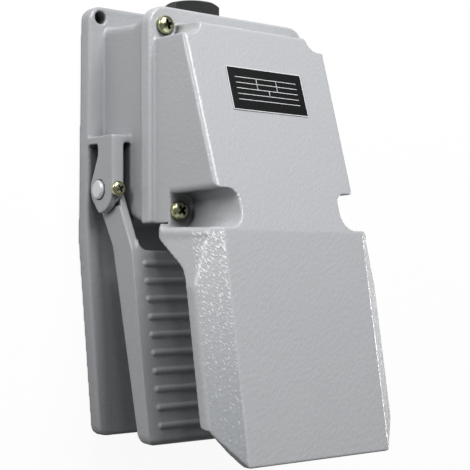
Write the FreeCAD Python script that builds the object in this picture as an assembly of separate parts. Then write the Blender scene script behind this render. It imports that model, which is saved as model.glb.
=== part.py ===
import FreeCAD, Part
import math
import os

from FreeCAD import Vector

# Industrial foot switch: cast base and housing, hooded cover, sprung pedal, contact block, cable gland.
# Millimetres. X to the right, +Y to the cable end, +Z up. The foot comes in from the front, at -Y.
# Origin: middle of the base plate's underside.

# Base plate
base_length = 232.6
base_half_rear = 64.15
base_half_wide = 65.8
base_half_front = 57.5
base_wide_y = -11.0
base_thickness = 8.4
base_rear_radius = 8.0
base_front_radius = 5.5
base_edge_radius = 1.5
mount_hole_diameter = 7.0
mount_hole_from_side = 7.25
mount_hole_from_rear = 6.1
relief_depth = 3.0
relief_rim = 9.0
relief_rib = 5.0

# Switch housing, cast in one with the base
housing_half_foot = 54.7
housing_half_top = 52.8
housing_front_y = -1.6
housing_rear_y = 105.0
housing_top_z = 41.5
housing_radius = 5.0
housing_wall = 5.6
housing_floor_z = 4.6
seat_flare_height = 8.0
seat_boss_half = 12.0
seat_shelf = 1.0
gasket_thickness = 0.6
gasket_inset = 0.9

# Cover: flange, drafted dome and open hood
flange_half = 54.0
flange_front_y = -3.2
flange_rear_y = 111.0
flange_thickness = 7.7
flange_radius = 10.5
cover_wall = 4.0
dome_half_foot = 50.4
dome_draft_deg = 4.0
dome_rear_y = 102.0
crease_y = -8.1
crease_z = 103.1
dome_slope_deg = 16.83
hood_slope_deg = 9.07
hood_front_y = -121.6
hood_half_top = 47.0
hood_half_side = 62.0
hood_half_neck = 55.0
hood_shoulder_drop = 9.7
hood_lip = 6.4
hood_neck_y = -12.0
hood_wide_y = -36.0
hood_corner_y = -104.2
hood_lobe_z = 58.9
hood_lobe_rear_y = -6.2
hood_lobe_front_y = -11.6
hood_bend_y = -27.5
hood_bend_z = 86.3
hood_front_bead = 2.5
hood_ridge_radius = 1.0
hood_shoulder_radius = 5.0
hood_corner_radius = 3.0
hood_heel_radius = 4.0
dome_ridge_radius = 2.5

# Cover screws
screw_diameter = 5.0
screw_head_diameter = 10.0
screw_head_height = 3.8
screw_engagement = 12.0
rear_screw_x = 44.4
rear_screw_y = 100.7
front_screw_x = 44.0
front_screw_y = 3.0
rear_notch_radius = 7.6
pocket_floor_z = 61.0
pocket_front_y = -5.6
pocket_rear_y = 11.6
pocket_inner_x = 35.2
pocket_front_radius = 7.5
pocket_rear_radius = 4.5
pocket_mouth_radius = 3.0
pocket_draft_deg = 1.8
hole_clearance = 0.3

# Pivot: one shaft through the ears, the pedal eyes and the housing
pivot_y = 15.4
pivot_z = 19.2
shaft_diameter = 10.0
shaft_overhang = 1.7
shaft_chamfer = 0.9
running_clearance = 0.04
ear_side_inset = 0.45
ear_roof_lap = 2.0
ear_rear_y = 44.0
ear_nose_radius = 12.4
ear_web = 4.0
ear_window_z = 17.6
ear_chin_drop = 8.8
ear_hole_clearance = 0.35
eye_radius = 8.8
eye_thickness = 4.0
eye_gap = 0.4
ear_screw_diameter = 4.0
ear_screw_head_diameter = 8.0
ear_screw_head_height = 3.2
ear_screw_from_side = 3.1
groove_depth = 1.3
bush_length = 8.6
bush_wall = 2.0
seal_section = 1.9
drive_pin_diameter = 2.5

# Pedal
arm_thickness = 5.0
arm_offset = 0.4
arm_step_y = 6.5
arm_knee_y = -16.1
arm_knee_z = 42.8
pedal_slope_deg = 9.16
pedal_front_y = -116.8
pedal_front_drop = 10.0
pedal_heel_y = -17.0
heel_corner_radius = 5.0
pedal_heel_drop = 11.0
pedal_lip_thickness = 6.0
pedal_plate = 5.0
skirt_knee_z = 25.6
plate_corner_radius = 6.0
rib_count = 10
rib_first = 8.0
rib_pitch = 9.32
rib_radius = 1.8
rib_sink = 0.5
rib_half_length = 54.2
pedal_travel_deg = 12.0

# Contact lever and contact block
lever_reach = 20.0
lever_hub_radius = 9.0
lever_nose_radius = 4.0
lever_width = 12.0
lever_gap = 0.1
lever_relief = 1.0
plunger_stroke = 4.2
plunger_stem_radius = 4.0
collar_radius = 6.2
collar_height = 2.5
collar_seat_z = 34.0
block_half = 25.0
block_crown_half = 16.0
block_front_y = 21.6
block_rear_y = 58.4
block_bottom_z = 30.5
block_top_z = 54.0
block_cap_height = 4.0
chamber_half_x = 11.5
chamber_half_y = 7.4
contact_strip = 1.0
contact_width = 5.0
spring_wire = 1.3
spring_radius = 4.9
spring_turns = 6.0
post_radius = 4.6
post_x = 20.4
post_front_y = 26.6
post_rear_y = 53.2
small_screw_diameter = 4.0
small_screw_head_diameter = 7.4
small_screw_head_height = 2.6
earth_x = -33.0
earth_y = 72.0
earth_boss_height = 6.0
post_screw_depth = 8.0
terminal_screw_length = 8.0
bumper_radius = 4.5
bumper_height = 4.0

# Cable gland
gland_x = -7.5
gland_z = 24.7
gland_flats = 27.0
gland_thread = 20.0
gland_hex_length = 6.0
gland_nut_length = 9.5
gland_nose_length = 1.2
gland_nose_diameter = 15.0
gland_bore = 10.0
gland_seal_diameter = 14.0
gland_turn_deg = 39.0
hex_rim_deg = 29.0
locknut_flats = 24.0
locknut_thickness = 5.0

# Label plate
label_length = 51.6
label_width = 24.4
label_thickness = 0.6
label_middle_y = 66.0

# Sizes that follow from the ones above
cover_seat_z = housing_top_z + gasket_thickness
flange_top_z = cover_seat_z + flange_thickness
dome_slope = math.tan(math.radians(dome_slope_deg))
hood_slope = math.tan(math.radians(hood_slope_deg))
dome_draft = math.tan(math.radians(dome_draft_deg))
pedal_slope = math.tan(math.radians(pedal_slope_deg))
cavity_half = housing_half_top - housing_wall
cavity_front_y = housing_front_y + housing_wall
cavity_rear_y = housing_rear_y - housing_wall
shaft_radius = shaft_diameter / 2
eye_inner_x = housing_half_foot + eye_gap
eye_outer_x = eye_inner_x + eye_thickness
cheek_inner_x = eye_outer_x + eye_gap
ear_inner_x = cheek_inner_x - ear_roof_lap
ear_top_z = pivot_z + ear_nose_radius
pedal_half = eye_inner_x + arm_offset + arm_thickness
beyond = 2 * base_half_wide
eye_middle_x = (eye_inner_x + eye_outer_x) / 2
nose_y = pivot_y + lever_reach
base_taper = (base_half_wide - base_half_rear) / (base_length / 2 - base_wide_y)
ear_outer_x = base_half_wide - base_taper * (pivot_y - base_wide_y) - ear_side_inset
ear_screw_x = ear_outer_x - ear_screw_from_side
mount_hole_x = base_half_rear - mount_hole_from_side
plunger_foot_z = pivot_z + lever_nose_radius + lever_gap
shoulder_z = collar_seat_z + collar_height + contact_strip + plunger_stroke


def dome_z(y):
    """Height of the dome's sloping roof at y."""
    return crease_z - dome_slope * (y - crease_y)


def hood_z(y):
    """Height of the hood's sloping roof at y."""
    return crease_z - hood_slope * (y - crease_y)


def pedal_z(y):
    """Height of the pedal's tread at y."""
    return arm_knee_z - pedal_slope * (y - arm_knee_y)


def rounded_wire(corners, place):
    """Closed wire through corners (u, v, radius), each corner rounded by a tangent arc."""
    count = len(corners)
    stations = []
    for index in range(count):
        before = Vector(*corners[index - 1][:2], 0)
        here = Vector(*corners[index][:2], 0)
        after = Vector(*corners[(index + 1) % count][:2], 0)
        radius = corners[index][2]
        if radius == 0:
            stations.append((here, here, here))
            continue
        back = (before - here).normalize()
        ahead = (after - here).normalize()
        half_angle = back.getAngle(ahead) / 2
        tangent = radius / math.tan(half_angle)
        middle = (back + ahead).normalize() * (radius / math.sin(half_angle) - radius)
        stations.append((here + back * tangent, here + middle, here + ahead * tangent))
    edges = []
    for index, (start, middle, end) in enumerate(stations):
        if start != end:
            edges.append(Part.Arc(place(start), place(middle), place(end)).toShape())
        following = stations[(index + 1) % count][0]
        if (following - end).Length > 1e-6:
            edges.append(Part.makeLine(place(end), place(following)))
    return Part.Wire(edges)


def prism_x(corners, x_low, x_high):
    """Solid from a Y-Z outline, run from x_low to x_high."""
    wire = rounded_wire(corners, lambda p: Vector(x_low, p.x, p.y))
    return Part.Face(wire).extrude(Vector(x_high - x_low, 0, 0))


def prism_z(corners, z_low, z_high):
    """Solid from an X-Y outline, run from z_low to z_high."""
    wire = rounded_wire(corners, lambda p: Vector(p.x, p.y, z_low))
    return Part.Face(wire).extrude(Vector(0, 0, z_high - z_low))


def loft_z(low_corners, z_low, high_corners, z_high):
    """Straight-sided solid between two X-Y outlines."""
    low = rounded_wire(low_corners, lambda p: Vector(p.x, p.y, z_low))
    high = rounded_wire(high_corners, lambda p: Vector(p.x, p.y, z_high))
    return Part.makeLoft([low, high], True, True)


def box(x_low, x_high, y_low, y_high, z_low, z_high):
    """Box between two corners."""
    return Part.makeBox(x_high - x_low, y_high - y_low, z_high - z_low, Vector(x_low, y_low, z_low))


def rod_z(x, y, z_low, z_high, radius):
    """Upright cylinder."""
    return Part.makeCylinder(radius, z_high - z_low, Vector(x, y, z_low))


def rod_x(x_low, x_high, y, z, radius):
    """Cylinder along X."""
    return Part.makeCylinder(radius, x_high - x_low, Vector(x_low, y, z), Vector(1, 0, 0))


def rod_y(y_low, y_high, x, z, radius):
    """Cylinder along Y."""
    return Part.makeCylinder(radius, y_high - y_low, Vector(x, y_low, z), Vector(0, 1, 0))


def mirrored(shape):
    """The same shape on the other side of the middle plane."""
    return shape.mirror(Vector(0, 0, 0), Vector(1, 0, 0))


def pair(shape):
    """A right-hand shape and its left-hand twin."""
    return [shape, mirrored(shape)]


def fused(shapes):
    """One solid from shapes that touch or overlap."""
    return shapes[0].multiFuse(shapes[1:]).removeSplitter()


def rounded_edges(shape, radius, wanted):
    """Round the edges that the test picks."""
    return shape.makeFillet(radius, [edge for edge in shape.Edges if wanted(edge.BoundBox)])


def plate_outline(inset):
    """The base plate's plan, moved in by inset."""
    half_length = base_length / 2 - inset
    rear = (base_half_rear - inset, half_length, max(base_rear_radius - inset, 1.0))
    wide = (base_half_wide - inset, base_wide_y, 0)
    front = (base_half_front - inset, -half_length, max(base_front_radius - inset, 1.0))
    right = [front, wide, rear]
    return right + [(-x, y, radius) for x, y, radius in reversed(right)]


def box_outline(half, front_y, rear_y, front_radius, rear_radius):
    """Plan of a box-shaped part that is symmetric about the middle plane."""
    return [(half, front_y, front_radius), (half, rear_y, rear_radius),
            (-half, rear_y, rear_radius), (-half, front_y, front_radius)]


def cavity_outline(inset=0.0):
    """Plan of the switch chamber."""
    return box_outline(cavity_half - inset, cavity_front_y + inset, cavity_rear_y - inset, 4.0, 4.0)


def cover_screw_places():
    """Right-hand cover screws: x, y and the height that the head sits on."""
    return [(rear_screw_x, rear_screw_y, flange_top_z), (front_screw_x, front_screw_y, pocket_floor_z)]


def underside_reliefs():
    """Shallow cored pockets under the base, between its ribs."""
    half_width = base_half_front - relief_rim
    half_length = base_length / 2 - 2 * relief_rim
    column = half_width / 2 - relief_rib / 2
    rows = 4
    pitch = 2 * half_length / rows
    pockets = []
    for row in range(rows):
        y_low = -half_length + row * pitch + relief_rib / 2
        y_high = y_low + pitch - relief_rib
        corners = [(relief_rib / 2, y_low, 3.0), (relief_rib / 2 + 2 * column, y_low, 3.0),
                   (relief_rib / 2 + 2 * column, y_high, 3.0), (relief_rib / 2, y_high, 3.0)]
        pockets += pair(prism_z(corners, 0, relief_depth))
    return pockets


def housing_box():
    """Drafted housing, its seat flared out at the rear screws and cut back over the gland."""
    flare_z = housing_top_z - seat_flare_height
    foot = box_outline(housing_half_foot, housing_front_y, housing_rear_y, housing_radius, housing_radius)
    neck = box_outline(housing_half_top, housing_front_y, housing_rear_y - 0.8,
                       housing_radius, housing_radius)
    seat = box_outline(flange_half - 1.0, flange_front_y + 1.0, flange_rear_y - 1.0,
                       2.0, flange_radius - 1.0)
    walls = loft_z(foot, base_thickness - 1.0, neck, flare_z)
    flare = loft_z(neck, flare_z, seat, housing_top_z)
    clear_half = rear_screw_x - seat_boss_half
    gland_clearance = box(-clear_half, clear_half, housing_rear_y, flange_rear_y,
                          0, housing_top_z - seat_shelf)
    return fused([walls, flare]).cut(gland_clearance)


def ear_outline():
    """Side view of a pivot ear: web at the rear, nose round the shaft, open window below."""
    web_front_y = ear_rear_y - ear_web
    root_z = base_thickness - 1.0
    chin_z = pivot_z - ear_chin_drop
    nose_tip_y = pivot_y - ear_nose_radius
    return [(ear_rear_y, root_z, 0), (ear_rear_y, ear_top_z, 2.0),
            (nose_tip_y, ear_top_z, ear_nose_radius - 0.4), (nose_tip_y, pivot_z - 0.8, 2.0),
            (pivot_y - 3.9, chin_z + 1.2, 5.0), (pivot_y + 2.1, chin_z, 5.0),
            (pivot_y + 17.6, ear_window_z, 4.0), (web_front_y, ear_window_z, 1.5),
            (web_front_y, root_z, 0)]


def arm_reach_outline(clearance, extra_turn_deg):
    """Room for the pedal arm in front of the shaft, from rest to extra_turn_deg of travel."""
    upper = math.atan2(arm_knee_z - (pivot_z + eye_radius), pivot_y - arm_knee_y)
    lower = math.radians(extra_turn_deg)
    reach = 40.0
    radius = eye_radius + clearance
    top = (pivot_y - reach, pivot_z + radius + reach * math.tan(upper), 0)
    bottom = (pivot_y - reach, pivot_z - radius - reach * math.tan(lower), 0)
    return [(pivot_y, pivot_z + radius, 0), top, bottom, (pivot_y, pivot_z - radius, 0)]


def ear():
    """Right-hand ear with its cheek outside the pedal eye, shaft hole and retaining screw hole."""
    body = prism_x(ear_outline(), ear_inner_x, ear_outer_x)
    web = box(housing_half_top, ear_outer_x, ear_rear_y - ear_web, ear_rear_y,
              base_thickness - 1.0, ear_top_z)
    eye_room = rod_x(housing_half_top, cheek_inner_x, pivot_y, pivot_z, eye_radius + eye_gap)
    arm_room = prism_x(arm_reach_outline(eye_gap, pedal_travel_deg), housing_half_top,
                       pedal_half + eye_gap)
    step_swing = eye_radius * math.sin(math.radians(pedal_travel_deg))
    behind_step = box(cheek_inner_x, beyond, arm_step_y + step_swing + eye_gap, pivot_y + 1, 0, beyond)
    arm_room = arm_room.cut(behind_step)
    shaft_hole = rod_x(ear_inner_x, ear_outer_x + 1, pivot_y, pivot_z,
                       shaft_radius + ear_hole_clearance)
    screw_hole = rod_z(ear_screw_x, pivot_y, pivot_z + shaft_radius, ear_top_z + 1,
                       ear_screw_diameter / 2)
    return fused([body, web]).cut([eye_room, arm_room, shaft_hole, screw_hole])


def bush_places():
    """X of the bush's inner end, of its outer end, and of the seal seat's outer end, right-hand side."""
    outer = cavity_half + 1.0
    return outer - bush_length, outer, outer + seal_section + 0.2


def base_casting():
    """Base plate, housing and ears in one casting."""
    plate = prism_z(plate_outline(0), 0, base_thickness)
    plate = rounded_edges(plate, base_edge_radius, lambda b: b.ZMin > base_thickness - 0.01)
    bush_inner, bush_outer, seat_outer = bush_places()
    bush_radius = shaft_radius + bush_wall
    chamber = prism_z(cavity_outline(), housing_floor_z, housing_top_z + 1)
    bosses = []
    holes = []
    for x, y, _ in cover_screw_places():
        boss = rod_z(x, y, housing_floor_z, housing_top_z, screw_diameter / 2 + 3.6)
        bosses += pair(boss.common(housing_box()))
        hole_bottom = cover_seat_z - screw_engagement - 2.0
        holes += pair(rod_z(x, y, hole_bottom, housing_top_z + 1, screw_diameter / 2))
    bosses += pair(rod_x(bush_inner, cavity_half + 1, pivot_y, pivot_z, bush_radius + 3.4))
    for y in (post_front_y, post_rear_y):
        bosses += pair(rod_z(post_x, y, housing_floor_z, block_bottom_z, post_radius))
        holes += pair(rod_z(post_x, y, block_bottom_z - post_screw_depth - 1, block_bottom_z + 1,
                            small_screw_diameter / 2))
    earth_top = housing_floor_z + earth_boss_height
    bosses.append(rod_z(earth_x, earth_y, housing_floor_z, earth_top, post_radius))
    holes.append(rod_z(earth_x, earth_y, housing_floor_z - 1, earth_top + 1, small_screw_diameter / 2))
    bumper_seat = pivot_z - lever_nose_radius - lever_gap - bumper_height
    bosses.append(rod_z(0, nose_y, housing_floor_z, bumper_seat, bumper_radius + 1))
    holes.append(rod_z(0, nose_y, housing_floor_z + 1, bumper_seat + 1, bumper_radius / 2))
    bore = rod_x(bush_inner - 1, seat_outer, pivot_y, pivot_z, bush_radius)
    lip = rod_x(bush_inner - 1, housing_half_foot + 1, pivot_y, pivot_z, shaft_radius + ear_hole_clearance)
    holes += pair(bore) + pair(lip)
    holes.append(rod_y(cavity_rear_y - 1, housing_rear_y + 1, gland_x, gland_z, gland_thread / 2))
    mount_y = base_length / 2 - mount_hole_from_rear
    holes += pair(rod_z(mount_hole_x, mount_y, -1, base_thickness + 1, mount_hole_diameter / 2))
    shell = fused([plate, housing_box()]).cut(chamber)
    return fused([shell] + bosses + pair(ear())).cut(holes + underside_reliefs())


def rear_notch(extra, z_low, z_high):
    """Right-hand rear corner cut of the dome round its screw, grown by extra."""
    radius = rear_notch_radius + extra
    round_part = rod_z(rear_screw_x, rear_screw_y, z_low, z_high, radius)
    side = box(rear_screw_x, beyond, rear_screw_y - radius, base_length, z_low, z_high)
    back = box(rear_screw_x - radius, beyond, rear_screw_y, base_length, z_low, z_high)
    return fused([round_part, side, back])


def pocket_growth(z_low):
    """How much wider the draft makes the screw pocket at its mouth above the crease than at z_low."""
    return (crease_z + 10 - z_low) * math.tan(math.radians(pocket_draft_deg))


def front_pocket(extra, z_low):
    """Right-hand screw pocket, cut from above and open to the side, grown by extra."""
    z_high = crease_z + 10
    drafted = extra + pocket_growth(z_low)
    outlines = []
    for grown in (extra, drafted):
        y_low = pocket_front_y - grown
        y_high = pocket_rear_y + grown
        inner = pocket_inner_x - grown
        outlines.append([(beyond, y_low, 0), (beyond, y_high, 0), (inner, y_high, pocket_rear_radius + grown),
                         (inner, y_low, pocket_front_radius + grown)])
    return loft_z(outlines[0], z_low, outlines[1], z_high)


def pocket_mouth():
    """Right-hand wedge that rounds the dome's corner where the screw pocket opens to the side."""
    z_high = crease_z + 10
    reach = 2 * pocket_mouth_radius
    outlines = []
    for z, grown in ((pocket_floor_z, 0), (z_high, pocket_growth(pocket_floor_z))):
        side_x = dome_half_foot - dome_draft * (z - flange_top_z)
        y = pocket_rear_y + grown
        outlines.append([(beyond, y - 1.0, 0), (beyond, y + reach, 0), (side_x, y + reach, 0),
                         (side_x, y, pocket_mouth_radius),
                         (side_x - reach, y, 0), (side_x - reach, y - 1.0, 0)])
    return loft_z(outlines[0], pocket_floor_z, outlines[1], z_high)


def roof_prism(wall, front_y, rear_y):
    """Everything under the dome's and hood's roofs, lowered by wall."""
    corners = [(rear_y, 0, 0), (rear_y, dome_z(rear_y) - wall, 0), (crease_y, crease_z - wall, 0)]
    if front_y < crease_y:
        corners.append((front_y, hood_z(front_y) - wall, 0))
    else:
        corners[-1] = (front_y, dome_z(front_y) - wall, 0)
    corners.append((front_y, 0, 0))
    return prism_x(corners, -beyond, beyond)


def dome_form(inset):
    """Drafted dome without its corner cuts, moved in by inset."""
    top_z = crease_z + 5
    foot_z = cover_seat_z
    lean_foot = dome_draft * (foot_z - flange_top_z)
    lean_top = dome_draft * (top_z - flange_top_z)
    foot = box_outline(dome_half_foot - inset - lean_foot, flange_front_y + inset,
                       dome_rear_y - inset - lean_foot, 0, 4.0)
    top = box_outline(dome_half_foot - inset - lean_top, flange_front_y + inset,
                      dome_rear_y - inset - lean_top, 0, 4.0)
    form = loft_z(foot, foot_z, top, top_z)
    return form.common(roof_prism(inset, flange_front_y - 1, dome_rear_y + 10))


def hood_section(inset):
    """Hood's cross-section outline at the crease: flat roof, slanting shoulders, upright lips."""
    side = hood_half_side - inset
    shoulder_z = crease_z - hood_shoulder_drop - inset * 0.45
    roof_z = crease_z - inset
    top = hood_half_top - inset * 0.35
    bottom_z = 0
    return [(side, bottom_z), (side, shoulder_z), (top, roof_z),
            (-top, roof_z), (-side, shoulder_z), (-side, bottom_z)]


def hood_form(inset, front_extra):
    """Hood without its open sides: the section run up the roof slope, inside the hood's plan."""
    start_y = flange_front_y + 10
    end_y = hood_front_y - 10
    points = [Vector(x, start_y, z - hood_slope * (start_y - crease_y)) for x, z in hood_section(inset)]
    run = Vector(0, end_y - start_y, hood_slope * (start_y - end_y))
    bar = Part.Face(Part.makePolygon(points + points[:1])).extrude(run)
    front_y = hood_front_y - front_extra
    half_front = hood_half_top - inset * 0.6
    plan = [(half_front, front_y, hood_corner_radius),
            (hood_half_side - inset, hood_corner_y - front_extra, 0),
            (hood_half_side - inset, hood_wide_y, 8.0), (hood_half_neck - inset, hood_neck_y, 8.0),
            (hood_half_neck - inset, flange_front_y, 0)]
    plan += [(-x, y, radius) for x, y, radius in reversed(plan)]
    body = bar.common(prism_z(plan, 0, 200))
    return body.common(roof_prism(inset, end_y, flange_front_y + 1))


def hood_side_view():
    """Side view that trims the hood: rounded lobe at the neck, raking lower edge, cut-back front."""
    shoulder = hood_shoulder_drop + hood_lip
    wide_low = hood_z(hood_wide_y) - shoulder
    corner_low = hood_z(hood_corner_y) - shoulder
    above_z = crease_z + 40
    front_low = hood_z(hood_front_y) - cover_wall - hood_front_bead
    return [(flange_front_y, above_z, 0), (flange_front_y, hood_lobe_z + 2.2, 0),
            (hood_lobe_rear_y, hood_lobe_z, 2.0), (hood_lobe_front_y, hood_lobe_z, 3.0),
            (hood_bend_y, hood_bend_z, 24.0), (hood_wide_y, wide_low, 14.0),
            (hood_corner_y + 1.0, corner_low, 2.5), (hood_corner_y, corner_low + hood_lip, 0),
            (hood_front_y - 2, front_low, 0), (hood_front_y - 2, above_z, 0)]


def hood_shell():
    """Open hood with rounded ridges."""
    outer = hood_form(0, 0)
    shoulder_low_z = crease_z - 1.5 * hood_shoulder_drop
    neck = hood_half_neck - 0.1
    outer = rounded_edges(outer, hood_shoulder_radius, lambda b: b.YLength > 1 and b.ZMin > shoulder_low_z
                          and min(abs(b.XMin), abs(b.XMax)) > neck)
    outer = rounded_edges(outer, hood_ridge_radius, lambda b: b.YLength > 60 and b.ZMin > shoulder_low_z
                          and max(abs(b.XMin), abs(b.XMax)) < neck)
    inner = hood_form(cover_wall, 5).cut(box(-beyond, beyond, flange_front_y - 0.1, 0, 0, 200))
    return outer.cut(inner).common(prism_x(hood_side_view(), -beyond, beyond))


def cover_casting():
    """Flange, dome and hood in one casting."""
    flange = prism_z(box_outline(flange_half, flange_front_y, flange_rear_y, 1.0, flange_radius),
                     cover_seat_z, flange_top_z)
    flange = rounded_edges(flange, 1.2, lambda b: b.ZMin > flange_top_z - 0.01)
    dome = dome_form(0)
    roof_low_z = dome_z(dome_rear_y) - 1.0
    dome = rounded_edges(dome, dome_ridge_radius,
                         lambda b: b.ZMin > roof_low_z and b.YMax > flange_front_y + 0.1)
    bulkheads = [pocket.common(hood_form(0, 0)).common(prism_x(hood_side_view(), -beyond, beyond))
                 for pocket in pair(front_pocket(cover_wall, hood_lobe_z - 5))]
    outside = fused([flange, dome, hood_shell()] + bulkheads)
    outside = outside.cut(pair(rear_notch(0, flange_top_z, beyond)) + pair(front_pocket(0, pocket_floor_z))
                          + pair(pocket_mouth()))
    heel_low_y = pocket_front_y - pocket_growth(pocket_floor_z)
    outside = rounded_edges(outside, hood_heel_radius, lambda b: b.ZLength > 20
                            and heel_low_y < b.YMin and b.YMax < pocket_front_y + 0.5
                            and min(abs(b.XMin), abs(b.XMax)) > hood_half_neck - 0.1)
    chamber = dome_form(cover_wall)
    keep = []
    for x, y, seat_z in cover_screw_places():
        keep += pair(rod_z(x, y, cover_seat_z, seat_z, screw_head_diameter / 2 + 2.0))
    keep += pair(rear_notch(cover_wall, flange_top_z - cover_wall, beyond))
    keep += pair(front_pocket(cover_wall, pocket_floor_z - cover_wall))
    chamber = chamber.cut(keep)
    holes = []
    for x, y, seat_z in cover_screw_places():
        holes += pair(rod_z(x, y, cover_seat_z - 1, seat_z + 1, screw_diameter / 2 + hole_clearance))
    return outside.cut([chamber] + holes)


def cover_gasket():
    """Flat gasket between the housing's seat and the cover's flange."""
    rim = box_outline(flange_half - 1.0 - gasket_inset, flange_front_y + 1.0 + gasket_inset,
                      flange_rear_y - 1.0 - gasket_inset, 2.0, flange_radius - 2.0)
    sheet = prism_z(rim, housing_top_z, cover_seat_z)
    chamber = prism_z(cavity_outline(), housing_top_z - 1, cover_seat_z + 1)
    bosses = []
    holes = [chamber]
    for x, y, _ in cover_screw_places():
        bosses += pair(rod_z(x, y, housing_top_z, cover_seat_z, screw_diameter / 2 + 3.0).common(sheet))
        holes += pair(rod_z(x, y, housing_top_z - 1, cover_seat_z + 1, screw_diameter / 2 + hole_clearance))
    return fused([sheet.cut(chamber)] + bosses).cut(holes[1:])


def pan_screw(x, y, seat_z, diameter, length, head_diameter, head_height):
    """Pan head screw pointing down, its head's underside on seat_z."""
    head_radius = head_diameter / 2
    crown = head_radius * 0.6
    corners = [(0, -length), (diameter / 2, -length), (diameter / 2, 0), (head_radius, 0),
               (head_radius, head_height * 0.5), (crown, head_height), (0, head_height)]
    points = [Vector(x + out, y, seat_z + up) for out, up in corners]
    profile = Part.Face(Part.makePolygon(points + points[:1]))
    return profile.revolve(Vector(x, y, seat_z), Vector(0, 0, 1), 360)


def cover_screws(place):
    """Left and right screw of one row, reaching down into the housing."""
    x, y, seat_z = place
    length = seat_z - cover_seat_z + screw_engagement
    return Part.makeCompound(pair(pan_screw(x, y, seat_z, screw_diameter, length,
                                            screw_head_diameter, screw_head_height)))


def ear_screws():
    """Dog-point screws in the ears; each point stands in the shaft's groove and keeps it from sliding out."""
    dog_radius = ear_screw_diameter / 2 - 0.6
    dog_top = pivot_z + shaft_radius + 3.0
    dog_bottom = pivot_z + shaft_radius - groove_depth + 0.15
    shank = pan_screw(ear_screw_x, pivot_y, ear_top_z, ear_screw_diameter, ear_top_z - dog_top,
                      ear_screw_head_diameter, ear_screw_head_height)
    dog = rod_z(ear_screw_x, pivot_y, dog_bottom, dog_top, dog_radius)
    return Part.makeCompound(pair(fused([shank, dog])))


def pedal_outline():
    """Side view of the pedal cheek: sloping arm, knee, tread line, turned-down front, skirt."""
    front_top = pedal_z(pedal_front_y)
    skirt_front = front_top - pedal_front_drop
    arm_top = pivot_z + eye_radius - 0.6
    return [(pivot_y, arm_top, 0), (arm_knee_y, arm_knee_z, 8.0),
            (pedal_front_y, front_top, 3.0), (pedal_front_y + 1.0, skirt_front, 2.0),
            (arm_knee_y + 1.1, skirt_knee_z, 12.0), (pivot_y - 6.5, pivot_z - eye_radius + 1.4, 2.0),
            (pivot_y, pivot_z - eye_radius + 0.2, 0)]


def pedal_cheek():
    """Right-hand cheek with its thinner eye."""
    cheek = prism_x(pedal_outline(), pedal_half - arm_thickness, pedal_half)
    outside = box(eye_outer_x, pedal_half + 1, arm_step_y, pivot_y + 20, 0, 60)
    eye = rod_x(eye_inner_x, eye_outer_x, pivot_y, pivot_z, eye_radius)
    return fused([cheek.cut(outside), eye])


def heel_web(inner, heel_z):
    """Rounded web in the right-hand corner between the tread's heel and the arm."""
    near_x = inner - heel_corner_radius - 0.5
    reach_y = pedal_heel_y + heel_corner_radius + 0.5
    buried_y = pedal_heel_y - 2.0
    plan = [(near_x, buried_y, 0), (inner + 1, buried_y, 0), (inner + 1, reach_y, 0), (inner, reach_y, 0),
            (inner, pedal_heel_y, heel_corner_radius), (near_x, pedal_heel_y, 0)]
    height = [(reach_y, pedal_z(reach_y), 0), (buried_y, pedal_z(buried_y), 0), (buried_y, heel_z, 0),
              (reach_y, heel_z, 0)]
    return prism_z(plan, 0, 100).common(prism_x(height, near_x, inner + 1))


def tread_ribs():
    """Round bars with round ends, sunk into the tread's surface."""
    ribs = []
    for index in range(rib_count):
        along = rib_first + index * rib_pitch
        end = Vector(rib_half_length - rib_radius, -along, -rib_sink)
        bar = rod_x(-end.x, end.x, end.y, end.z, rib_radius)
        rib = fused([bar] + pair(Part.makeSphere(rib_radius, end)))
        rib.rotate(Vector(0, 0, 0), Vector(1, 0, 0), -pedal_slope_deg)
        rib.translate(Vector(0, arm_knee_y, arm_knee_z))
        ribs.append(rib)
    return ribs


def pedal_casting():
    """Pedal: ribbed tread between two cheeks, turned down at the heel and the front."""
    inner = pedal_half - arm_thickness
    drop = pedal_plate / math.cos(math.radians(pedal_slope_deg))
    front_z = pedal_z(pedal_front_y) - pedal_front_drop
    heel_z = pedal_z(pedal_heel_y) - pedal_heel_drop
    front_inner_y = pedal_front_y + pedal_lip_thickness
    heel_inner_y = pedal_heel_y - pedal_plate
    tread = [(pedal_heel_y, pedal_z(pedal_heel_y), 1.0), (pedal_front_y, pedal_z(pedal_front_y), 3.0),
             (pedal_front_y + 1.0, front_z, 2.0), (front_inner_y, front_z + 0.6, 2.0),
             (front_inner_y, pedal_z(front_inner_y) - drop, 2.0),
             (heel_inner_y, pedal_z(heel_inner_y) - drop, 2.0),
             (heel_inner_y, heel_z, 1.0), (pedal_heel_y, heel_z, 1.0)]
    plate = prism_x(tread, -inner - 1, inner + 1)
    pedal = fused([plate] + pair(pedal_cheek()) + pair(heel_web(inner, heel_z)) + tread_ribs())
    plan = [(pedal_half, pivot_y + 20, 0), (-pedal_half, pivot_y + 20, 0),
            (-pedal_half, pedal_front_y, plate_corner_radius),
            (pedal_half, pedal_front_y, plate_corner_radius)]
    pedal = pedal.common(prism_z(plan, 0, 100))
    bore = rod_x(-pedal_half, pedal_half, pivot_y, pivot_z, shaft_radius)
    pins = [rod_z(x, pivot_y, 0, 60, drive_pin_diameter / 2) for x in (-eye_middle_x, eye_middle_x)]
    return pedal.cut([bore] + pins)


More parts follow.
